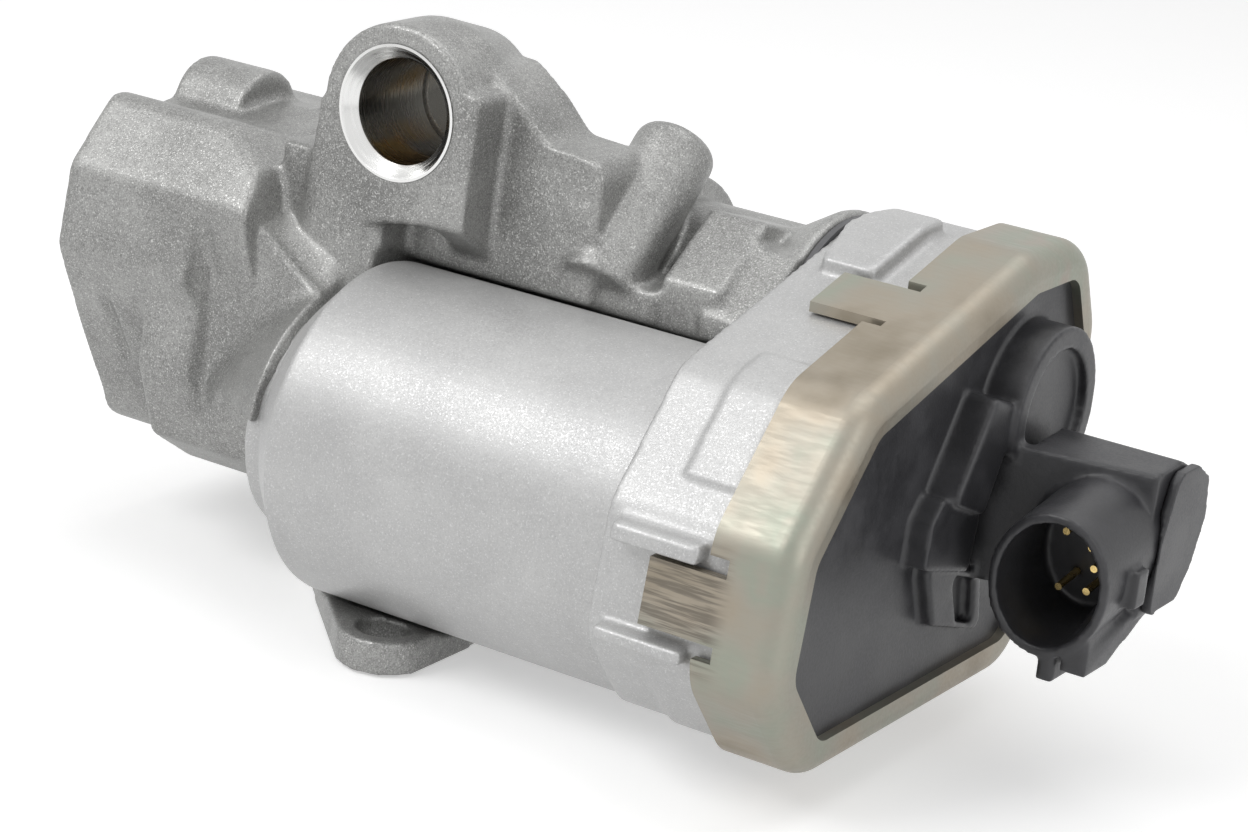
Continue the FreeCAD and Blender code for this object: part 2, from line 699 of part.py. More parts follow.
def make_intermediate_axle():
    return rod("x", CAN_END_X + 2.0, JOINT_X + 2.0, AXLE_R, idler_place())


def make_motor_pinion():
    idler = idler_place()
    tooth_at = mesh_angle(MOTOR_AT, idler)
    pinion = gear(PINION_TEETH, FINE_MODULE, WHEEL_X - 0.2, WHEEL_X + FACE_W + 0.2, MOTOR_AT, tooth_at)
    return pinion.cut(rod("x", WHEEL_X - 1.0, WHEEL_X + FACE_W + 1.2, SHAFT_R, MOTOR_AT))


def make_motor_shaft():
    return rod("x", SLEEVE_X + 0.2, WHEEL_X + FACE_W + 0.8, SHAFT_R, MOTOR_AT)


def core_x():
    return CAN_X + CAN_WALL + 3.5 + WINDING_L


def make_armature_core():
    core = tube("x", core_x(), core_x() + CORE_L, CORE_R, SHAFT_R, MOTOR_AT)
    slots = []
    for i in range(CORE_SLOTS):
        place = around(MOTOR_AT, CORE_R, 360.0 * i / CORE_SLOTS)
        slots.append(rod("x", core_x() - AIR, core_x() + CORE_L + AIR, 1.6, place))
    return core.cut(slots)


def make_armature_windings():
    rear = tube("x", core_x() - WINDING_L, core_x(), WINDING_R, SHAFT_R, MOTOR_AT)
    front = tube("x", core_x() + CORE_L, core_x() + CORE_L + WINDING_L, WINDING_R, SHAFT_R, MOTOR_AT)
    return Part.makeCompound([rear, front])


def commutator_x():
    return core_x() + CORE_L + WINDING_L


def make_commutator():
    return tube("x", commutator_x(), commutator_x() + COMMUTATOR_L, COMMUTATOR_R, SHAFT_R, MOTOR_AT)


def make_brushes():
    """Two carbon brushes, above and below the commutator."""
    middle = commutator_x() + COMMUTATOR_L / 2
    brushes = []
    for side in (1, -1):
        near = MOTOR_Z + side * (COMMUTATOR_R + 0.05)
        far = near + side * BRUSH_L
        half = BRUSH_W / 2
        brush = block(middle - half, middle + half, MOTOR_Y - half, MOTOR_Y + half, min(near, far), max(near, far))
        brushes.append(brush.cut(rod("x", middle - 5, middle + 5, COMMUTATOR_R + 0.05, MOTOR_AT)))
    return Part.makeCompound(brushes)


def make_brush_holder():
    """Moulded ring inside the can, with a cage for each brush."""
    low = commutator_x() + 0.5
    high = commutator_x() + COMMUTATOR_L
    ring = tube("x", low, high, CAN_R - CAN_WALL, COMMUTATOR_R + 2.0, MOTOR_AT)
    half = BRUSH_W / 2 + GAP
    tall = COMMUTATOR_R + BRUSH_L + 0.5
    middle = commutator_x() + COMMUTATOR_L / 2
    cage = block(middle - half, middle + half, MOTOR_Y - half, MOTOR_Y + half, MOTOR_Z - tall, MOTOR_Z + tall)
    return ring.cut(cage)


def make_motor_magnets():
    """Two curved magnets on the inside of the can."""
    low = core_x() - 3.0
    outer = CAN_R - CAN_WALL
    ring = tube("x", low, low + MAGNET_L, outer, outer - MAGNET_T, MOTOR_AT)
    magnets = []
    for middle in (0.0, 180.0):
        half = MAGNET_SPAN / 2
        wedge = [MOTOR_AT, around(MOTOR_AT, 3 * outer, middle - half), around(MOTOR_AT, 3 * outer, middle),
                 around(MOTOR_AT, 3 * outer, middle + half)]
        magnets.append(ring.common(prism("x", low, low + MAGNET_L, wedge)))
    return Part.makeCompound(magnets)


def make_motor_can():
    can = rod("x", CAN_X, CAN_END_X, CAN_R, MOTOR_AT)
    can = can.cut(rod("x", CAN_X + CAN_WALL, CAN_END_X + AIR, CAN_R - CAN_WALL, MOTOR_AT))
    can = can.fuse(rod("x", CAN_X, CAN_X + BEARING_L, BEARING_R + 1.0, MOTOR_AT))
    return can.cut(rod("x", CAN_X - AIR, CAN_X + BEARING_L + AIR, BEARING_R, MOTOR_AT))


def make_motor_bearings():
    rear = tube("x", CAN_X, CAN_X + BEARING_L, BEARING_R, SHAFT_R + 0.03, MOTOR_AT)
    front = tube("x", BASE_X - BEARING_L, BASE_X, BEARING_R, SHAFT_R + 0.03, MOTOR_AT)
    return Part.makeCompound([rear, front])


def make_motor_end_plate():
    """Plate that closes the motor, with two ears screwed to the housing."""
    plate = rod("x", CAN_END_X, BASE_X, CAN_R, MOTOR_AT)
    shapes = [plate]
    for place, angle in zip(motor_screw_places(), MOTOR_SCREW_ANGLES):
        arm = block(BASE_X, BASE_X + MOTOR_EAR_T, 8.0, MOTOR_SCREW_RING, -3.0, 3.0)
        arm.rotate(V(0, 0, 0), V(1, 0, 0), angle)
        arm.translate(V(0, MOTOR_Y, MOTOR_Z))
        shapes += [arm, rod("x", BASE_X, BASE_X + MOTOR_EAR_T, 3.0, place)]
    whole = fuse(shapes)
    tools = [
        rod("x", CAN_END_X - AIR, BASE_X - BEARING_L, BEARING_R - 1.0, MOTOR_AT),
        rod("x", BASE_X - BEARING_L, BASE_X + AIR, BEARING_R, MOTOR_AT),
        rod("x", CAN_END_X + 2.0, BASE_X + 5.0, AXLE_R, idler_place()),
    ]
    tools += [rod("x", BASE_X - AIR, BASE_X + 5.0, MOTOR_SCREW_R + GAP, place) for place in motor_screw_places()]
    return whole.cut(tools)


def make_motor_screws():
    low = SEAM_X + 0.3
    high = BASE_X + MOTOR_EAR_T
    screws = [screw(low, high, place, MOTOR_SCREW_R, MOTOR_HEAD_R, MOTOR_HEAD_T) for place in motor_screw_places()]
    return Part.makeCompound(screws)


def make_housing_screws():
    """Countersunk screws, flush in the housing's base, into the valve body."""
    screws = []
    for place in body_screw_places():
        shank = rod("x", BASE_X - BODY_SCREW_L, BASE_X, BODY_SCREW_R, place)
        drop = BODY_SCREW_HEAD_R - BODY_SCREW_R
        head = taper("x", BASE_X - drop, BASE_X, BODY_SCREW_R, BODY_SCREW_HEAD_R, place)
        key = [around(place, BODY_SCREW_R * 0.7, 60.0 * i) for i in range(6)]
        screws.append(shank.fuse(head).cut(prism("x", BASE_X - 1.0, BASE_X + AIR, key)))
    return Part.makeCompound(screws)


def make_body_gasket():
    gasket = tube("x", BODY_END_X, SEAM_X, SEAM_R - 0.5, DRUM_BUSH_R + 1.8, VALVE_AT)
    tools = [rod("x", BODY_END_X - AIR, SEAM_X + AIR, BODY_SCREW_R + GAP, place) for place in body_screw_places()]
    tools.append(rod("x", BODY_END_X - AIR, SEAM_X + AIR, CLEAR_R, MOTOR_AT))
    return gasket.cut(tools)


def top_pad():
    """Raised pad on top of the housing, behind the clamp."""
    pad = [(BODY_END_X + 3.8, -14.0), (BODY_END_X + 11.0, -14.0), (BODY_END_X + 11.0, 3.0),
           (BODY_END_X + 4.0, 3.0), (BODY_END_X + 2.0, -5.0)]
    column = prism("z", VALVE_Z, VALVE_Z + 30.0, pad, 0.8)
    return column.common(cover_prism(SEAM_X, SEAM_X + 14.0, LIP + 0.4))


def side_ribs():
    """Two ribs beside the clamp's side tongue, and a low pad above and below them."""
    ribs = []
    for low, high in ((MOTOR_Z + 6.0, MOTOR_Z + 8.2), (MOTOR_Z - 5.4, MOTOR_Z - 3.6)):
        rib = block(SEAM_X + 2.0, SEAM_X + 13.5, MOTOR_Y - 30.0, MOTOR_Y - 18.0, low, high)
        ribs.append(rib.common(cover_prism(SEAM_X, SEAM_X + 14.0, LIP + 0.9)))
    for low, high in ((MOTOR_Z + 13.6, MOTOR_Z + 25.0), (MOTOR_Z - 19.0, MOTOR_Z - 6.2)):
        pad = block(SEAM_X + 7.3, SEAM_X + 14.2, MOTOR_Y - 32.0, MOTOR_Y - 5.0, low, high)
        ribs.append(pad.common(cover_prism(SEAM_X + 7.0, SEAM_X + 14.2, WALL_OUT + 0.5)))
    return ribs


def make_actuator_housing():
    """Casting of the motor sleeve and the gear case."""
    sleeve = rod("x", SLEEVE_X, BASE_X, SLEEVE_R, MOTOR_AT)
    rim = [edge for edge in sleeve.Edges if abs(edge.BoundBox.XMax - SLEEVE_X) < 0.01]
    sleeve = sleeve.makeFillet(SLEEVE_EDGE, rim)
    cap = rod("x", SLEEVE_X - CAP_T, SLEEVE_X + 1.0, CAP_R, MOTOR_AT)
    case = cover_prism(SEAM_X, JOINT_X, WALL_OUT)
    body = fuse([sleeve, cap, case, top_pad()] + side_ribs())
    groove = cover_prism(JOINT_X - SEAL_T - 0.1, JOINT_X + AIR, 0.4 + SEAL_W + GAP)
    groove = groove.cut(cover_prism(JOINT_X - SEAL_T - 1.0, JOINT_X + 2 * AIR, 0.4 - GAP))
    tools = [
        cover_prism(BASE_X, JOINT_X + AIR, -WALL_IN),
        rod("x", CAN_X - 0.5, JOINT_X + AIR, CAN_R + 0.2, MOTOR_AT),
        rod("x", SLEEVE_X, CAN_X, BEARING_R + 1.2, MOTOR_AT),
        rod("x", SEAM_X - AIR, BASE_X + AIR, DRUM_BUSH_R, VALVE_AT),
        groove,
    ]
    for place in motor_screw_places():
        tools.append(rod("x", SEAM_X - AIR, BASE_X + AIR, MOTOR_SCREW_R + GAP, place))
    for place in body_screw_places():
        drop = BODY_SCREW_HEAD_R - BODY_SCREW_R
        tools.append(rod("x", SEAM_X - AIR, BASE_X + AIR, BODY_SCREW_R + GAP, place))
        tools.append(taper("x", BASE_X - drop, BASE_X, BODY_SCREW_R + GAP, BODY_SCREW_HEAD_R + GAP, place))
    return body.cut(tools)


def make_cover_seal():
    ring = cover_prism(JOINT_X - SEAL_T, JOINT_X, 0.4 + SEAL_W)
    return ring.cut(cover_prism(JOINT_X - SEAL_T - AIR, JOINT_X + AIR, 0.4))


def socket_axis():
    tilt = math.radians(SOCKET_TILT)
    return V(0, -math.cos(tilt), -math.sin(tilt))


def socket_oval(start, length, inset=0.0):
    """Oval bar along the connector socket's axis."""
    ellipse = Part.Ellipse(V(0, 0, 0), SOCKET_LONG - inset, SOCKET_WIDE - inset)
    bar = Part.Face(Part.Wire([ellipse.toShape()])).extrude(V(0, 0, length))
    bar.rotate(V(0, 0, 0), V(0, 0, 1), 90.0 - SOCKET_LEAN)
    bar.rotate(V(0, 0, 0), V(1, 0, 0), 90.0 + SOCKET_TILT)
    bar.translate(V(SOCKET_X, SOCKET_Y, SOCKET_Z) + socket_axis() * start)
    return bar


def terminals():
    axis = socket_axis()
    across = V(0, axis.z, -axis.y)
    start = axis * (SOCKET_L - SOCKET_DEPTH - 3.0)
    pins = []
    for aside, raised in TERMINALS:
        base = V(SOCKET_X + aside, SOCKET_Y, SOCKET_Z) + start + across * raised
        pins.append(Part.makeCylinder(PIN_WIRE_R, PIN_L + 3.0, base, axis))
    return pins


def make_connector_terminals():
    return Part.makeCompound(terminals())


def connector_block():
    """Block behind the socket, with the socket's two keys below and its lock nub at the side."""
    plan = [(COVER_X - 0.5, -10.5), (BLOCK_END_X, -7.2), (BLOCK_END_X, 7.0), (COVER_X - 0.5, 7.0)]
    profile = from_valve([
        (-12.0, -18.9), (-12.0, -2.0), (-0.5, -1.2), (5.3, -3.8), (6.1, -9.0), (3.8, -14.6), (0.7, -18.9),
    ])
    body = prism("z", VALVE_Z - 20.0, VALVE_Z, plan).common(prism("x", COVER_X - AIR, BLOCK_END_X, profile, 1.2))
    low = SOCKET_Z - 14.0
    return [
        body,
        block(SOCKET_X - 0.4, SOCKET_X + 1.7, -17.6, -11.0, low, low + 6.0),
        block(SOCKET_X + 2.4, SOCKET_X + 5.5, -17.6, -11.0, low + 1.8, low + 7.0),
        block(BLOCK_END_X - 0.5, BLOCK_END_X + 2.0, -13.5, -10.5, SOCKET_Z - 4.3, SOCKET_Z + 0.3),
    ]


def make_connector_end_plate():
    pairs = [
        (-6.8, -18.5), (-6.7, -10.1), (-4.0, -2.8), (-0.5, -0.5), (5.3, -4.0), (6.1, -9.0), (3.8, -14.6), (0.7, -18.2),
    ]
    plate = prism("x", BLOCK_END_X, BLOCK_END_X + END_PLATE_T, from_valve(pairs), 1.0)
    return plate.cut(socket_oval(-1.0, SOCKET_L))


def make_gear_cover():
    """Moulded cover with the sensor boss, the rib and steps, and the connector socket."""
    plate = cover_prism(JOINT_X, COVER_X, WALL_OUT)
    spigot = cover_prism(JOINT_X - 3.0, JOINT_X + 0.5, -WALL_IN - 0.2)
    spigot = spigot.cut(cover_prism(JOINT_X - 4.0, JOINT_X + AIR, -WALL_IN - 1.7))
    boss = rod("x", JOINT_X, COVER_X + BOSS_H, BOSS_R, VALVE_AT)
    rib = from_valve([(-22.0, -6.4), (-14.8, 4.7), (-8.0, 2.5), (-14.1, -9.6)])
    step = from_valve([(-25.3, -13.9), (-25.0, -8.5), (-22.5, -5.9), (-12.5, -9.8), (-13.7, -16.9)])
    pillar = from_valve([(-22.6, -14.0), (-7.6, -18.0), (-5.5, -26.7), (-18.8, -22.7)])
    pocket = from_valve([(-15.2, -17.4), (-9.3, -19.2), (-8.0, -25.2), (-12.4, -23.8)])
    idler = idler_place()
    shapes = [
        plate, spigot, boss,
        prism("x", COVER_X - 1.0, COVER_X + 4.4, rib, 1.2),
        prism("x", COVER_X - 1.0, COVER_X + 3.2, step, 1.0),
        prism("x", COVER_X - 1.0, COVER_X + 2.0, pillar, 1.2),
        rod("x", JOINT_X - 4.5, JOINT_X + 0.5, AXLE_R + 2.0, idler),
        socket_oval(-1.0, SOCKET_L + 1.0),
    ]
    whole = fuse(shapes + connector_block())
    tools = [
        rod("x", JOINT_X - AIR, COVER_X + BOSS_H - BOSS_WALL - BOSS_DISH, BOSS_R - BOSS_WALL, VALVE_AT),
        rod("x", COVER_X + BOSS_H - BOSS_DISH, COVER_X + BOSS_H + AIR, BOSS_R - 2.6, VALVE_AT),
        rod("x", JOINT_X - 5.0, JOINT_X + 2.0, AXLE_R, idler),
        socket_oval(SOCKET_L - SOCKET_DEPTH, SOCKET_DEPTH + AIR, SOCKET_WALL),
        prism("x", COVER_X + 0.5, COVER_X + 2.0 + AIR, pocket, 0.8),
    ]
    return whole.cut(tools + terminals())


def make_sensor_board():
    top = COVER_X + BOSS_H - BOSS_WALL - BOSS_DISH
    return rod("x", top - 1.6, top, BOSS_R - BOSS_WALL - 0.2, VALVE_AT)


def make_clamp_frame():
    """Bent steel frame over the cover, with a tongue on top and one at the side."""
    rear = CLAMP_FRONT_X - CLAMP_DEPTH
    shell = cover_prism(rear, CLAMP_FRONT_X, LIP)
    front = [edge for edge in shell.Edges if abs(edge.BoundBox.XMin - CLAMP_FRONT_X) < 0.01]
    shell = shell.makeFillet(CLAMP_BEND, front)
    inner = cover_prism(rear - AIR, COVER_X, LIP - CLAMP_T)
    window = cover_prism(COVER_X - AIR, CLAMP_FRONT_X + AIR, 0.0)
    frame = shell.cut([inner, window])
    skin = cover_prism(rear - 9.0, rear + 0.5, LIP).cut(cover_prism(rear - 10.0, rear + AIR, LIP - CLAMP_T))
    top = skin.common(block(rear - 7.5, rear + 1.0, MOTOR_Y + 5.2, MOTOR_Y + 12.8, VALVE_Z, VALVE_Z + 30.0))
    low, high = MOTOR_Z - 2.2, MOTOR_Z + 5.4
    side = skin.common(block(rear - 7.2, rear + 1.0, MOTOR_Y - 30.0, MOTOR_Y - 10.0, low, high))
    reliefs = [
        block(rear - AIR, rear + 2.4, MOTOR_Y + 4.0, MOTOR_Y + 5.2, VALVE_Z, VALVE_Z + 30.0),
        block(rear - AIR, rear + 2.4, MOTOR_Y + 12.8, MOTOR_Y + 14.4, VALVE_Z, VALVE_Z + 30.0),
        block(rear - AIR, rear + 2.5, MOTOR_Y - 32.0, MOTOR_Y - 12.0, low - 1.9, low),
        block(rear - AIR, rear + 2.5, MOTOR_Y - 32.0, MOTOR_Y - 12.0, high, high + 2.1),
    ]
    return fuse([frame, top, side]).cut(reliefs)


NODES = {
    "valve_body": make_valve_body,
    "seat_ring": make_seat_ring,
    "guide_bush": make_guide_bush,
    "stem_seal": make_stem_seal,
    "valve_stem": make_valve_stem,
    "valve_disc": make_valve_disc,
    "cross_pin": cross_pin,
    "spring_retainer": make_spring_retainer,
    "return_spring": make_return_spring,
    "cam_drum": make_cam_drum,
    "drum_bushes": make_drum_bushes,
    "output_gear": make_output_gear,
    "sensor_magnet": make_sensor_magnet,
    "intermediate_gear": make_intermediate_gear,
    "intermediate_axle": make_intermediate_axle,
    "motor_pinion": make_motor_pinion,
    "motor_shaft": make_motor_shaft,
    "armature_core": make_armature_core,
    "armature_windings": make_armature_windings,
    "commutator": make_commutator,
    "brushes": make_brushes,
    "brush_holder": make_brush_holder,
    "motor_magnets": make_motor_magnets,
    "motor_can": make_motor_can,
    "motor_bearings": make_motor_bearings,
    "motor_end_plate": make_motor_end_plate,
    "motor_screws": make_motor_screws,
    "housing_screws": make_housing_screws,
    "body_gasket": make_body_gasket,
    "actuator_housing": make_actuator_housing,
    "cover_seal": make_cover_seal,
    "gear_cover": make_gear_cover,
    "sensor_board": make_sensor_board,
    "connector_terminals": make_connector_terminals,
    "connector_end_plate": make_connector_end_plate,
    "clamp_frame": make_clamp_frame,
}


def main():
    os.makedirs("parts", exist_ok=True)
    for name, make in NODES.items():
        shape = make()
        box = shape.BoundBox
        low, high = (box.XMin, box.YMin, box.ZMin), (box.XMax, box.YMax, box.ZMax)
        spans = "  ".join(f"{axis} {a:6.1f} {b:6.1f}" for axis, a, b in zip(AXES, low, high))
        print(f"{name:20s} valid {shape.isValid()} solids {len(shape.Solids)} volume {shape.Volume:9.1f}  {spans}")
        shape.exportStep(f"parts/{name}.step")


main()
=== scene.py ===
"""Looks of an electric exhaust gas recirculation valve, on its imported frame.

Profiles, corners and rules are in mm, in the part's own frame, and MM turns them into metres.
The camera, the floor and the lamps are placed in metres.
"""

import json
import math

import bmesh
import bpy
from mathutils import Matrix, Vector


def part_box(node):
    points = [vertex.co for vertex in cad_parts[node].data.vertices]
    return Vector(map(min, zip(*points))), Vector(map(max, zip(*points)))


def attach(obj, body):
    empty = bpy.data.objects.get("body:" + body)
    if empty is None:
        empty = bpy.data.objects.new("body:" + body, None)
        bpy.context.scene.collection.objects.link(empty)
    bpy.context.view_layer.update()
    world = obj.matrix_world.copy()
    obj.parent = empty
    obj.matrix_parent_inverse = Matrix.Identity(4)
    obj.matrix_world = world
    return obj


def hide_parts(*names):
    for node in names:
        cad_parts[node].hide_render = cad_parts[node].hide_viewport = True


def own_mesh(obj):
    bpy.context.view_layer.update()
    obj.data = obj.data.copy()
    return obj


MM = 0.001
MOTOR_Y, MOTOR_Z = -28.0, 24.0
LUG_X, LUG_Z, LUG_FACE_Y = 13.0, 63.5, -28.0
BORE_R, BORE_FLOOR_Y, BORE_WALL = 6.5, -12.75, 0.4
VALVE_Z, VALVE_LIFT = 40.0, 7.0

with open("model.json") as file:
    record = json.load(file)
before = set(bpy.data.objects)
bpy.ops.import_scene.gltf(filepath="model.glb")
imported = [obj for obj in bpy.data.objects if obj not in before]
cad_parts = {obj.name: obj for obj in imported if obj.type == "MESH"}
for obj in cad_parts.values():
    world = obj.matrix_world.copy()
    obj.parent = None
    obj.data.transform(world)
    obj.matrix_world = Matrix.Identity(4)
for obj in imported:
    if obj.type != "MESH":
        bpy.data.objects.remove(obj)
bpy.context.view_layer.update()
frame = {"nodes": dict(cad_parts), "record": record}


class Value:
    """A socket that takes part in arithmetic."""

    def __init__(self, tree, socket):
        self.tree = tree
        self.socket = socket

    def _with(self, operation, first, second):
        return self.tree.add("ShaderNodeMath", {"operation": operation}, {0: first, 1: second})

    def __add__(self, other):
        return self._with("ADD", self, other)

    __radd__ = __add__

    def __sub__(self, other):
        return self._with("SUBTRACT", self, other)

    def __rsub__(self, other):
        return self._with("SUBTRACT", other, self)

    def __mul__(self, other):
        return self._with("MULTIPLY", self, other)

    __rmul__ = __mul__


class NodeTree:
    """The nodes of a material or of the world."""

    def __init__(self, tree):
        self.nodes = tree.nodes
        self.links = tree.links

    def join(self, socket, value):
        if isinstance(value, Value):
            self.links.new(value.socket, socket)
        elif isinstance(value, tuple) and len(value) == 3 and socket.type == "RGBA":
            socket.default_value = (*value, 1.0)
        else:
            socket.default_value = value

    def add(self, kind, settings=None, sockets=None, out=0):
        """A node of any type, with its settings first and then its sockets."""
        node = self.nodes.new(kind)
        for key, value in (settings or {}).items():
            if key == "stops":
                ramp = node.color_ramp
                while len(ramp.elements) < len(value):
                    ramp.elements.new(0.5)
                for element, (position, colour) in zip(ramp.elements, value):
                    element.position = position
                    element.color = (*colour, 1.0)
            else:
                setattr(node, key, value)
        for key, value in (sockets or {}).items():
            self.join(node.inputs[key], value)
        return Value(self, node.outputs[out])

    def looked_at(self):
        """1 where the camera, a reflection or glass looks, and 0 where only light arrives."""
        camera, glossy, through = (
            self.add("ShaderNodeLightPath", out="Is " + ray + " Ray") for ray in ("Camera", "Glossy", "Transmission"))
        return camera + glossy + through


class Finish(NodeTree):
    """A material, with the few nodes that its looks need."""

    def __init__(self, name, colour, roughness, metallic=0.0, **fixed):
        self.material = bpy.data.materials.new(name)
        self.material.use_nodes = True
        super().__init__(self.material.node_tree)
        self.shader = self.nodes["Principled BSDF"]
        self.place = self.add("ShaderNodeTexCoord", out="Object")
        self.put("Base Color", colour)
        self.put("Roughness", roughness)
        self.put("Metallic", metallic)
        for socket, value in fixed.items():
            self.put(socket.replace("_", " "), value)

    def put(self, socket, value):
        self.join(self.shader.inputs[socket], value)

    def along(self, axis):
        """Object place along one axis, in mm."""
        return self.add("ShaderNodeSeparateXYZ", {}, {0: self.place}, axis) * (1.0 / MM)

    def stretched(self, x, y, z):
        """Object place, scaled along each axis."""
        return self.add("ShaderNodeMapping", {}, {"Vector": self.place, "Scale": (x, y, z)})

    def noise(self, size_mm, detail, roughness, place=None):
        scale = 1.0 / MM / size_mm
        sockets = {"Vector": place or self.place, "Scale": scale, "Detail": detail, "Roughness": roughness}
        return self.add("ShaderNodeTexNoise", {}, sockets)

    def between(self, value, low, high, out_low=0.0, out_high=1.0):
        """Smooth step from one level to another."""
        sockets = {"Value": value, "From Min": low, "From Max": high, "To Min": out_low, "To Max": out_high}
        return self.add("ShaderNodeMapRange", {"interpolation_type": "SMOOTHSTEP"}, sockets)

    def mix(self, factor, first, second):
        settings = {"data_type": "RGBA", "blend_type": "MIX"}
        return self.add("ShaderNodeMix", settings, {0: factor, 6: first, 7: second}, 2)

    def ramp(self, value, stops):
        return self.add("ShaderNodeValToRGB", {"stops": stops}, {0: value})

    def bump(self, height, depth_mm):
        sockets = {"Height": height, "Distance": depth_mm * MM, "Strength": 1.0}
        self.put("Normal", self.add("ShaderNodeBump", {}, sockets))


def cast_finish(name, dark, light, glint_colour, grain_mm, depth_mm, roughness, metallic):
    """Shot-blasted casting: fine peened grain, a slow drift of tone, and small facets that are smoother and carry
    painted glints of pale colour.
    """
    made = Finish(name, light, roughness, metallic)
    grain = made.noise(grain_mm, 3.0, 0.6)
    coarse = made.noise(grain_mm * 3.2, 2.0, 0.5)
    cloud = made.noise(11.0, 3.0, 0.55)
    facet = made.noise(grain_mm * 0.9, 1.0, 0.4, made.stretched(1.0, 1.13, 0.94))
    # Painted glints: random small facets get a pale base colour that stands in for the light they catch; they are also
    # made smoother
    painted_glint_and_smooth_facet = made.between(facet, 0.60, 0.70)
    tone = grain * 0.55 + coarse * 0.15 + cloud * 0.3
    skin = made.mix(made.between(tone, 0.32, 0.68), dark, light)
    made.put("Base Color", made.mix(painted_glint_and_smooth_facet * 0.5, skin, glint_colour))
    made.put("Roughness", made.between(grain, 0.35, 0.7, roughness - 0.1, roughness + 0.1) - painted_glint_and_smooth_facet * 0.12)
    made.bump(grain * 0.75 + coarse * 0.25, depth_mm)
    return made.material


def zinc_finish(name):
    """Passivated zinc plate, which drifts between straw, green and rose, brushed along the side tongue."""
    made = Finish(name, (0.34, 0.31, 0.26), 0.32, 0.75)
    drift = made.noise(18.0, 2.0, 0.5)
    cloud = made.noise(5.0, 3.0, 0.55)
    straw_green_rose = [
        (0.30, (0.255, 0.22, 0.165)), (0.42, (0.345, 0.305, 0.245)), (0.50, (0.335, 0.315, 0.265)),
        (0.58, (0.31, 0.325, 0.27)), (0.68, (0.375, 0.305, 0.265)),
    ]
    plated = made.ramp(drift * 0.75 + cloud * 0.25, straw_green_rose)
    x, y, z = made.along(0), made.along(1), made.along(2)
    side = made.between(y, -51.0, -52.4)
    length = made.between(x, 63.0, 66.0) * made.between(x, 80.5, 77.5)
    height = made.between(z, 16.5, 20.0) * made.between(z, 34.0, 30.5)
    tongue = side * length * height
    streak = made.noise(0.45, 3.0, 0.65, made.stretched(0.05, 1.0, 1.0))
    worn = made.between(streak, 0.40, 0.62) * tongue
    made.put("Base Color", made.mix(worn * 0.75, plated, (0.13, 0.115, 0.095)))
    scratch = made.noise(0.5, 2.0, 0.6, made.stretched(0.15, 1.0, 1.0))
    made.put("Roughness", made.between(scratch + cloud * 0.5, 0.5, 1.0, 0.36, 0.48) + tongue * 0.06)
    made.bump(scratch * 0.5 + worn * 0.6, 0.01)
    return made.material


def plastic_finish(name, colour, roughness):
    """Glass-filled moulding with a fine grain and a dusty bloom."""
    made = Finish(name, colour, roughness)
    grain = made.noise(0.35, 3.0, 0.6)
    cloud = made.noise(7.0, 3.0, 0.6)
    dusty = tuple(min(c * 1.45 + 0.008, 1.0) for c in colour)
    made.put("Base Color", made.mix(made.between(cloud, 0.4, 0.75), colour, dusty))
    made.put("Roughness", made.between(cloud * 0.6 + grain * 0.4, 0.35, 0.7, roughness - 0.08, roughness + 0.1))
    made.bump(grain, 0.02)
    return made.material


def turned_finish(name, colour, roughness):
    """Machined metal with faint tool marks."""
    made = Finish(name, colour, roughness, 1.0)
    marks = made.noise(0.25, 1.0, 0.5)
    stain_and_painted_reflection = made.noise(4.0, 3.0, 0.6)
    worn = tuple(c * 0.75 for c in colour)
    made.put("Base Color", made.mix(made.between(stain_and_painted_reflection, 0.4, 0.7), colour, worn))
    made.put("Roughness", made.between(stain_and_painted_reflection, 0.35, 0.7, roughness, roughness + 0.15))
    made.bump(marks, 0.006)
    return made.material


def bored_finish(name):
    """Bored aluminium: pale chamfer, and a wall past it painted darker as the shade inside the bore, with painted
    amber reflections at its top and foot.
    """
    made = Finish(name, (0.5, 0.5, 0.49), 0.2, 1.0)
    depth, height = made.along(1), made.along(2)
    rise = made.add("ShaderNodeMath", {"operation": "ABSOLUTE"}, {0: height - LUG_Z})
    inside = made.between(depth, LUG_FACE_Y + 1.2, LUG_FACE_Y + 2.2)
    edge = made.between(rise + made.noise(1.6, 2.0, 0.5) * 1.5, 5.0, 6.2)
    # Painted reflection: amber colour at the top and foot of the wall near the mouth, standing in for warm reflections
    stain_and_painted_reflection = edge * made.between(depth, -19.0, -21.5) * inside
    # Painted shade: the wall past the chamfer is given a darker colour than the chamfer, as the shade inside the bore
    wall = made.mix(inside, (0.72, 0.72, 0.71), (0.30, 0.295, 0.28))
    made.put("Base Color", made.mix(stain_and_painted_reflection * 0.8, wall, (0.50, 0.31, 0.09)))
    rings = made.noise(0.3, 1.0, 0.5, made.stretched(0.05, 1.0, 0.05))
    made.put("Roughness", made.between(rings, 0.35, 0.65, 0.16, 0.28))
    made.bump(rings, 0.008)
    return made.material


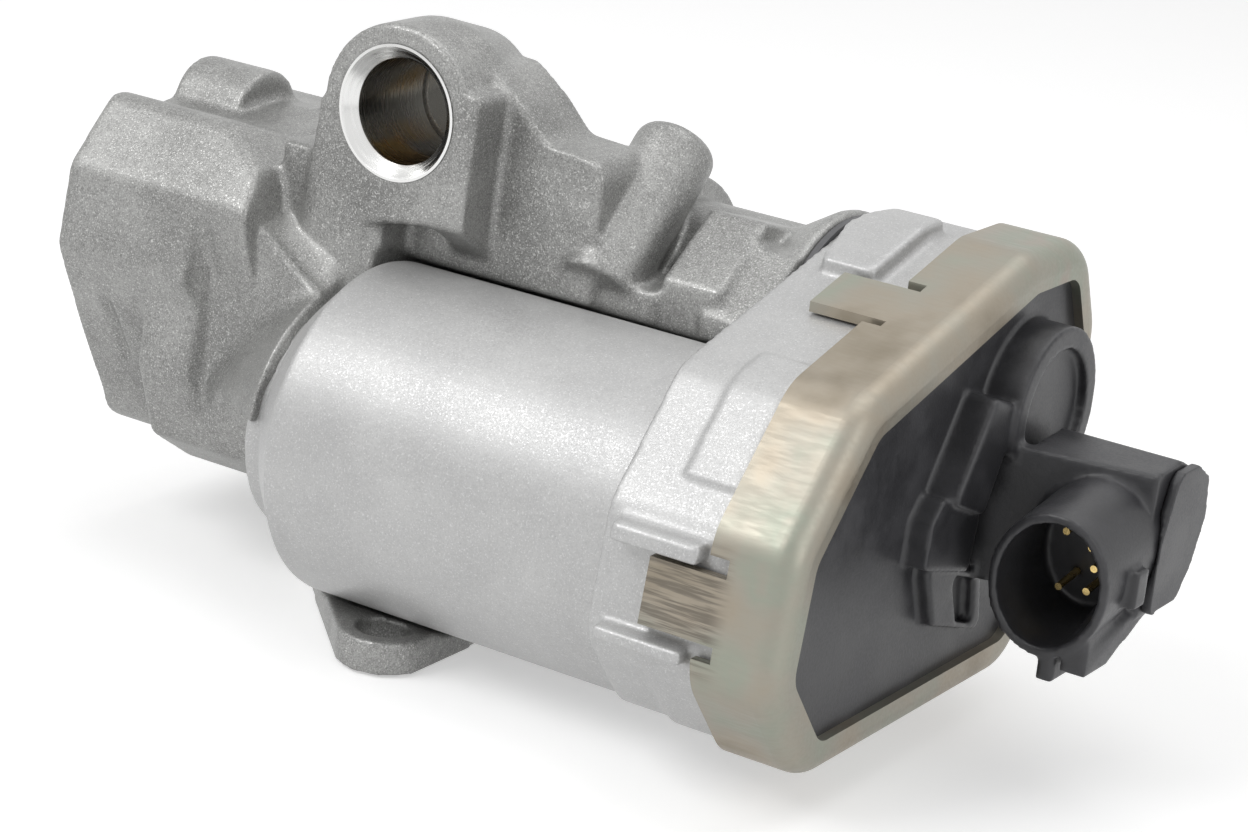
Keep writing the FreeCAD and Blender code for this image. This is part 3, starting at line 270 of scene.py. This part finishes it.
# Maker, name and levels; a finish is named for the slot that it fills
FINISH_ROWS = [
    # Castings: dark, light and painted glint colours, then grain, bump depth, roughness and metallic
    (cast_finish, "cast_body", (0.17, 0.17, 0.165), (0.43, 0.43, 0.42), (0.82, 0.82, 0.80), 0.21, 0.04, 0.46, 0.55),
    (cast_finish, "cast_housing", (0.44,) * 3, (0.57, 0.57, 0.565), (0.74,) * 3, 0.24, 0.018, 0.48, 0.4),
    (turned_finish, "valve_steel", (0.40, 0.38, 0.36), 0.38),
    (turned_finish, "ground_steel", (0.62, 0.62, 0.63), 0.18),
    (turned_finish, "spring_steel", (0.42, 0.42, 0.44), 0.3),
    (turned_finish, "bronze", (0.60, 0.42, 0.22), 0.4),
    (plastic_finish, "graphite_seal", (0.03, 0.03, 0.03), 0.6),
    (plastic_finish, "gear_plastic", (0.72, 0.69, 0.58), 0.4),
    (turned_finish, "brass_gear", (0.75, 0.58, 0.28), 0.25),
    (plastic_finish, "magnet", (0.07, 0.07, 0.075), 0.5),
    (turned_finish, "core_steel", (0.34, 0.34, 0.35), 0.4),
    (turned_finish, "copper", (0.72, 0.36, 0.20), 0.32),
    (plastic_finish, "carbon", (0.03, 0.03, 0.03), 0.7),
    (turned_finish, "motor_steel", (0.58, 0.58, 0.58), 0.3),
    (plastic_finish, "motor_plastic", (0.05, 0.05, 0.055), 0.45),
    (turned_finish, "screw_steel", (0.55, 0.54, 0.48), 0.28),
    (plastic_finish, "gasket", (0.10, 0.10, 0.105), 0.55),
    (plastic_finish, "seal_rubber", (0.025, 0.025, 0.028), 0.6),
    (plastic_finish, "cover_plastic", (0.030, 0.030, 0.033), 0.40),
    (plastic_finish, "board", (0.03, 0.14, 0.07), 0.35),
    (turned_finish, "contact_gold", (0.83, 0.62, 0.26), 0.2),
    (zinc_finish, "zinc_clamp"),
]
FINISHES = {name: maker(name, *levels) for maker, name, *levels in FINISH_ROWS}
SLOT_OF = {row["node"]: row["material_slot"] for row in frame["record"]["subparts"]}


def dress(obj, material):
    obj.data.materials.clear()
    obj.data.materials.append(material)


for node, obj in frame["nodes"].items():
    dress(obj, FINISHES[SLOT_OF[node]])


def smooth_step(value, low, high):
    part = min(max((value - low) / (high - low), 0.0), 1.0)
    return part * part * (3.0 - 2.0 * part)


def level_at(profile, station):
    """Level of a (station, level) profile at one station; its first run is carried on before its start."""
    for (x0, r0), (x1, r1) in zip(profile, profile[1:]):
        if station <= x1:
            return r0 + (r1 - r0) * (station - x0) / (x1 - x0)
    return profile[-1][1]


def new_object(name, mesh):
    obj = bpy.data.objects.new(name, mesh)
    bpy.context.scene.collection.objects.link(obj)
    return obj


def object_from(shape, name):
    """New object with a finished bmesh as its mesh."""
    mesh = bpy.data.meshes.new(name)
    shape.to_mesh(mesh)
    shape.free()
    return new_object(name, mesh)


def settle(obj, kind, **settings):
    """Run one modifier on an object and keep its result as the mesh."""
    step = obj.modifiers.new(kind.lower(), kind)
    for key, value in settings.items():
        setattr(step, key, value)
    bpy.context.view_layer.update()
    made = bpy.data.meshes.new_from_object(obj.evaluated_get(bpy.context.evaluated_depsgraph_get()))
    obj.modifiers.clear()
    obj.data = made


def join_rings(shape, rings):
    """Closed form through rings of equally many points."""
    count = len(rings[0])
    made = []
    for first, second in zip(rings, rings[1:]):
        for i in range(count):
            j = (i + 1) % count
            made.append(shape.faces.new((first[i], first[j], second[j], second[i])))
    made += [shape.faces.new(rings[0][::-1]), shape.faces.new(rings[-1])]
    bmesh.ops.recalc_face_normals(shape, faces=made)


def hull_of(*corners):
    """Closed form around some corners."""

    def form(shape):
        points = [shape.verts.new(Vector(corner) * MM) for corner in corners]
        bmesh.ops.convex_hull(shape, input=points)

    return form


def move_points(obj, rules):
    """Move each point of a mesh by the first rule that has a new place for it."""
    for point in obj.data.vertices:
        here = point.co / MM
        for rule in rules:
            moved = rule(*here)
            if moved:
                point.co = Vector(moved) * MM
                break


def stand_for(piece, node):
    """Dress a fixed piece as the node that it stands for."""
    dress(piece, FINISHES[SLOT_OF[node]])
    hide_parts(node)
    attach(piece, "housing")


def add_skin(node, name, voxel_mm, passes, forms=(), before=(), after=()):
    """Piece with rounded edges and inner corners, from a node's own shape, added forms and rules for its points."""
    skin = new_object(name, frame["nodes"][node].data.copy())
    remesh = {"mode": "VOXEL", "voxel_size": voxel_mm * MM, "use_smooth_shade": True}
    if forms:
        shape = bmesh.new()
        shape.from_mesh(skin.data)
        for form in forms:
            form(shape)
        shape.to_mesh(skin.data)
        shape.free()
    settle(skin, "REMESH", **remesh)
    if before:
        move_points(skin, before)
        settle(skin, "REMESH", **remesh)
    settle(skin, "SMOOTH", factor=0.5, iterations=passes)
    if after:
        move_points(skin, after)
    stand_for(skin, node)


# Neck between the outlet's box and the sleeve, turned about the motor's axis: (x, radius)
NECK_X, NECK_ARC, NECK_OUTER_R = (-10.3, 11.0), (56.0, 230.0), 24.7
NECK_END_X, NECK_END_R = 7.4, 16.8
NECK_CURVE = [(-3.5, 23.9), (-1.0, 21.6), (2.0, 19.4), (5.0, 17.7), (NECK_END_X, NECK_END_R)]
NECK_SADDLE = [*NECK_CURVE, (7.5, 15.2), (11.0, 15.2)]
NECK_UNDER_LUG = [(-3.5, 24.4), (4.0, 24.2), (6.5, 23.0), (7.6, 20.5), (7.7, 16.0), (11.0, 16.0)]
UNDER_LUG_ARC = (78.0, 100.0)
NECK_ROOT = [(-8.2, 1.0), (-8.2, 24.3), *NECK_CURVE, (NECK_END_X, 14.0), (3.8, 14.0), (3.8, 1.0)]
NECK_ROOT_FROM, NECK_ROOT_SPAN, NECK_ROOT_STEPS = 62.0, 110.0, 24

# Crease between the neck and the flank of the outlet's box: (turn in degrees, x)
CREASE = [(100.0, -2.5), (102.0, -3.0), (117.0, -6.0), (167.0, -9.0), (360.0, -9.0)]

# That flank: how far it lies in front of the motor's axis, and how it leans away on the box's side of an x
FLANK_OFF, FLANK_SWEEP = 4.3, 1.1
FLANK_DRAFT, FLANK_DRAFT_X = 0.15, -4.0
FLANK_EASE, FLANK_EASE_X = 1.2, -8.6

# Flank of the outlet's box, carried on to the crease
BOX_FLANK = hull_of(
    (-24.0, -35.6, 39.0), (-24.0, -31.0, 27.0), (-24.0, -27.2, 19.8), (-24.0, -25.7, 21.0), (-24.0, -25.7, 54.5),
    (-24.0, -29.5, 50.8), (-24.0, -33.8, 45.0), (-4.0, -32.4, 43.8), (-7.0, -32.2, 32.0), (-10.0, -31.3, 25.0),
    (-12.0, -28.0, 20.8), (-12.0, -25.7, 21.0), (-4.0, -25.7, 51.5), (-4.0, -29.5, 48.8))

# Foot of the lug, where the neck runs in under its edge
LUG_FOOT = hull_of(
    (-4.0, -27.2, 46.0), (-4.0, -27.2, 56.5), (-4.0, -18.0, 56.5), (-4.0, -18.0, 44.0),
    (11.8, -27.2, 46.0), (11.8, -27.2, 56.5), (11.8, -18.0, 56.5), (11.8, -18.0, 44.0))

# Web that fills the corner between the cover's lower key and the end plate
KEY_WEB = hull_of(
    (103.7, -17.6, 16.4), (106.8, -17.6, 16.4), (103.7, -11.0, 16.4), (106.8, -11.0, 16.4),
    (103.7, -17.6, 19.0), (106.8, -17.6, 19.0), (107.6, -7.5, 21.6), (107.6, -1.0, 21.6),
    (103.7, -7.5, 23.5), (103.7, -1.0, 23.5))


def neck_root(shape):
    """Concave root of the neck."""
    rings = []
    for step in range(NECK_ROOT_STEPS + 1):
        turn = math.radians(NECK_ROOT_FROM + NECK_ROOT_SPAN * step / NECK_ROOT_STEPS)
        across, up = math.cos(turn), math.sin(turn)
        places = [(x * MM, (MOTOR_Y + r * across) * MM, (MOTOR_Z + r * up) * MM) for x, r in NECK_ROOT]
        rings.append([shape.verts.new(place) for place in places])
    join_rings(shape, rings)


def from_motor(y, z):
    """Sideways and upward distance of a point from the motor's axis, and its radius."""
    across, up = y - MOTOR_Y, z - MOTOR_Z
    return across, up, math.hypot(across, up)


def drawn_in(x, across, up, r, most):
    """Place at radius most, straight in from radius r towards the motor's axis."""
    return x, MOTOR_Y + across * most / r, MOTOR_Z + up * most / r


def neck_limit(x, turn, across, r):
    """Largest radius of the neck at one place."""
    most, under = level_at(NECK_SADDLE, x), level_at(NECK_UNDER_LUG, x)
    most += (under - most) * (1.0 - smooth_step(turn, *UNDER_LUG_ARC))
    off = FLANK_OFF + FLANK_DRAFT * max(FLANK_DRAFT_X - x, 0.0) + FLANK_EASE * max(FLANK_EASE_X - x, 0.0)
    flank = off / max(-across / r, 0.05)
    if flank < most and x < NECK_END_X:
        crease = level_at(CREASE, turn)
        rise = min(max((x - crease) / (NECK_END_X - crease), 0.0), 1.0)
        most = min(most, flank + max(NECK_END_R - flank, 0.0) * rise ** FLANK_SWEEP)
    return most


def neck_rule(x, y, z):
    """Neck held behind the sleeve's end, and run into the flank of the outlet's box."""
    if not NECK_X[0] < x < NECK_X[1]:
        return None
    across, up, r = from_motor(y, z)
    turn = math.degrees(math.atan2(up, across)) % 360.0
    if r >= NECK_OUTER_R or not NECK_ARC[0] < turn < NECK_ARC[1]:
        return None
    most = neck_limit(x, turn, across, r)
    return drawn_in(x, across, up, r, most) if r > most else None


BORE_OPEN_Y = (LUG_FACE_Y - 0.5, BORE_FLOOR_Y - 1.0)
BORE_MOUTH_R, BORE_CENTRE_R = 8.2, 0.5


def bore_rule(x, y, z):
    """Lug's bore opened for its machined wall and chamfer."""
    if not BORE_OPEN_Y[0] < y < BORE_OPEN_Y[1]:
        return None
    across, up = x - LUG_X, z - LUG_Z
    r = math.hypot(across, up)
    least = max(BORE_R + BORE_WALL, BORE_MOUTH_R - (y - LUG_FACE_Y))
    return (LUG_X + across * least / r, y, LUG_Z + up * least / r) if BORE_CENTRE_R < r < least else None


# Cross pin: the first place that its side reaches, its radius, and its end as seen from the valve's axis
pin_low, pin_high = (Vector(corner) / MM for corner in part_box("cross_pin"))
pin_end = [point.co / MM for point in frame["nodes"]["cross_pin"].data.vertices if point.co.z > VALVE_Z * MM]
PIN_FIRST_X = pin_low.x - VALVE_LIFT
PIN_R = (pin_high.x - pin_low.x) / 2.0
PIN_REACH = Vector((0.0, sum(p.y for p in pin_end) / len(pin_end), sum(p.z for p in pin_end) / len(pin_end) - VALVE_Z))
PIN_LINE = PIN_REACH.normalized()

# The two grooves that the pin slides in: where each surface is put, and how far off it is still taken for it
GROOVE_FROM = 5.5
GROOVE_FOOT_X, FOOT_UP_TO_X = PIN_FIRST_X - 0.6, PIN_FIRST_X + 0.5
GROOVE_END, END_FROM, END_UP_TO = PIN_REACH.length + 0.45, PIN_REACH.length - 0.3, PIN_REACH.length + 0.4
GROOVE_SIDE, SIDE_UP_TO = PIN_R + 0.4, PIN_R + 0.35


def pin_rule(x, y, z):
    """Grooves kept clear of the sliding cross pin, at their foot, their outer ends and their sides."""
    up = z - VALVE_Z
    if x <= GROOVE_FOOT_X or math.hypot(y, up) >= END_UP_TO:
        return None
    along = y * PIN_LINE.y + up * PIN_LINE.z
    across = y * PIN_LINE.z - up * PIN_LINE.y
    if abs(along) <= GROOVE_FROM or abs(across) >= SIDE_UP_TO:
        return None
    if x < FOOT_UP_TO_X and abs(across) < PIN_R:
        return GROOVE_FOOT_X, y, z
    if abs(along) > END_FROM and abs(across) < PIN_R:
        along = math.copysign(GROOVE_END, along)
    else:
        across = math.copysign(GROOVE_SIDE, across)
    return x, along * PIN_LINE.y + across * PIN_LINE.z, VALVE_Z + along * PIN_LINE.z - across * PIN_LINE.y


FOLD_TOP = Vector((-24.8, -34.2, 32.9))
FOLD_RUN = Vector((-23.7, -29.4, 22.6)) - FOLD_TOP
FOLD_REACH, FOLD_DEPTH = 1.1, 0.7
FOLD_IN, FOLD_UP = 0.9, 0.4


def fold_rule(x, y, z):
    """Fold left by the die on the outlet's box, deepest at the middle of its run."""
    off = Vector((x, y, z)) - FOLD_TOP
    part = min(max(off.dot(FOLD_RUN) / FOLD_RUN.length_squared, 0.0), 1.0)
    away = (off - FOLD_RUN * part).length
    if away >= FOLD_REACH:
        return None
    depth = FOLD_DEPTH * (1.0 - smooth_step(away, 0.0, FOLD_REACH)) * (1.0 - abs(2.0 * part - 1.0) ** 3)
    return x, y + depth * FOLD_IN, z + depth * FOLD_UP


SLEEVE_END_X, SLEEVE_END_R = 9.0, 16.6
CHAMFER_X, SLEEVE_OUTER_R = (8.6, 13.5), 21.4


def sleeve_rule(x, y, z):
    """Turned chamfer at the sleeve's rear end."""
    if not CHAMFER_X[0] < x < CHAMFER_X[1]:
        return None
    across, up, r = from_motor(y, z)
    most = SLEEVE_END_R + max(x - SLEEVE_END_X, 0.0)
    return drawn_in(x, across, up, r, most) if most < r < SLEEVE_OUTER_R else None


BLOCK_TOP_Z = 38.1


def plate_rule(x, y, z):
    """End plate cut flush with the top of its block."""
    return (x, y, BLOCK_TOP_Z) if z > BLOCK_TOP_Z else None


def add_spring():
    """Return spring, copied from its node into a piece with a mesh of its own; nothing here shortens it as the valve
    lifts.
    """
    spring = new_object("return_spring_coil", frame["nodes"]["return_spring"].data.copy())
    stand_for(spring, "return_spring")
    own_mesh(spring)


# Wall of the lug's bore, turned about the bore's axis: (y, radius) from the floor out to the chamfer and back
BORE_PROFILE = [
    (BORE_FLOOR_Y, BORE_R), (LUG_FACE_Y + 1.45, BORE_R), (LUG_FACE_Y - 0.03, 8.0),
    (LUG_FACE_Y, 8.35), (LUG_FACE_Y + 1.6, BORE_R + BORE_WALL), (BORE_FLOOR_Y + BORE_WALL, BORE_R + BORE_WALL),
]
BORE_STEPS, BORE_SHARP_FROM = 96, 35.0
CROSS_BORE_AT, CROSS_BORE_R, CROSS_BORE_L = (17.0, -16.5, 61.5), 3.6, 8.0


def add_bore_wall():
    """Machined wall of the lug's bore, with its chamfer, floor and cross bore."""
    turns = [2.0 * math.pi * k / BORE_STEPS for k in range(BORE_STEPS)]
    shape = bmesh.new()
    rings = []
    for y, r in BORE_PROFILE:
        places = [((LUG_X + r * math.cos(a)) * MM, y * MM, (LUG_Z + r * math.sin(a)) * MM) for a in turns]
        rings.append([shape.verts.new(place) for place in places])
    join_rings(shape, rings)
    wall = object_from(shape, "coolant_bore_wall")
    drill = bmesh.new()
    place = Matrix.Translation(Vector(CROSS_BORE_AT) * MM) @ Matrix.Rotation(math.pi / 2, 4, "Y")
    bmesh.ops.create_cone(
        drill, cap_ends=True, segments=48, radius1=CROSS_BORE_R * MM, radius2=CROSS_BORE_R * MM,
        depth=CROSS_BORE_L * MM, matrix=place)
    cutter = object_from(drill, "cross_drill")
    settle(wall, "BOOLEAN", object=cutter, operation="DIFFERENCE", solver="EXACT")
    bpy.data.objects.remove(cutter)
    wall.data.shade_smooth()
    wall.data.set_sharp_from_angle(angle=math.radians(BORE_SHARP_FROM))
    dress(wall, bored_finish("bored_aluminium"))
    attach(wall, "housing")


add_skin(
    "valve_body", "body_casting", 0.42, 9, forms=(neck_root, BOX_FLANK, LUG_FOOT),
    before=(neck_rule, bore_rule), after=(pin_rule, fold_rule))
add_skin("actuator_housing", "housing_casting", 0.45, 5, after=(sleeve_rule,))
add_skin("gear_cover", "cover_moulding", 0.34, 4, forms=(KEY_WEB,))
add_skin("connector_end_plate", "end_plate_moulding", 0.28, 3, before=(plate_rule,))
add_spring()
add_bore_wall()


CAMERA_PLACE = (0.2485, -0.3633, 0.1596)
CAMERA_RIGHT, CAMERA_UP = Vector((0.8375, 0.5365, 0.1041)), Vector((-0.2487, 0.2046, 0.9467))
CAMERA_VIEW = Vector((-0.4866, 0.8188, -0.3047))
FOCAL_PIXELS, PHOTO_WIDTH, SENSOR_MM = 3500.0, 1248.0, 36.0
FLOOR_SIZE, FLOOR_DROP = 2.0, 0.0003
FLOOR_WHITE, FLOOR_GLOW, ROOM_LIGHT = (0.86, 0.86, 0.86), (0.42, 0.42, 0.42), 0.32

# Name, place, aim, size and power in watts
LAMPS = [
    ("key", (-0.25, -0.45, 0.55), (0.03, -0.02, 0.03), (0.45, 0.35), 2.15),
    ("top", (0.10, 0.10, 0.60), (0.03, -0.02, 0.03), (0.5, 0.5), 1.05),
    ("right", (0.55, -0.15, 0.25), (0.05, -0.02, 0.04), (0.3, 0.4), 0.5),
]


def add_camera():
    data = bpy.data.cameras.new("camera")
    data.sensor_width = SENSOR_MM
    data.lens = FOCAL_PIXELS * SENSOR_MM / PHOTO_WIDTH
    data.clip_start, data.clip_end = 0.01, 10.0
    turn = Matrix((CAMERA_RIGHT, CAMERA_UP, -CAMERA_VIEW)).transposed().to_4x4()
    camera = new_object("camera", data)
    camera.matrix_world = Matrix.Translation(CAMERA_PLACE) @ turn
    bpy.context.scene.camera = camera


def add_floor():
    shape = bmesh.new()
    bmesh.ops.create_grid(shape, x_segments=1, y_segments=1, size=FLOOR_SIZE)
    bmesh.ops.translate(shape, verts=shape.verts, vec=(0, 0, -FLOOR_DROP))
    floor = object_from(shape, "floor")
    made = Finish("floor_white", FLOOR_WHITE, 0.7, Emission_Strength=1.0)
    made.put("Emission Color", made.mix(made.looked_at(), (0.0, 0.0, 0.0), FLOOR_GLOW))
    dress(floor, made.material)


def add_room():
    """Room that looks white and lights the object softly."""
    world = bpy.data.worlds.new("studio")
    bpy.context.scene.world = world
    world.use_nodes = True
    tree = NodeTree(world.node_tree)
    back = tree.nodes["Background"].inputs
    tree.join(back["Color"], (1.0, 1.0, 1.0))
    sockets = {"Value": tree.looked_at(), "To Min": ROOM_LIGHT, "To Max": 1.0}
    tree.join(back["Strength"], tree.add("ShaderNodeMapRange", {}, sockets))


def add_lamp(name, place, aim, size, power):
    data = bpy.data.lights.new(name, "AREA")
    data.shape = "RECTANGLE"
    data.size, data.size_y = size
    data.energy = power
    lamp = new_object(name, data)
    lamp.location = place
    lamp.rotation_euler = (Vector(aim) - Vector(place)).to_track_quat("-Z", "Y").to_euler()


add_camera()
add_floor()
add_room()
for lamp_row in LAMPS:
    add_lamp(*lamp_row)

bpy.context.scene.view_settings.view_transform = "Standard"
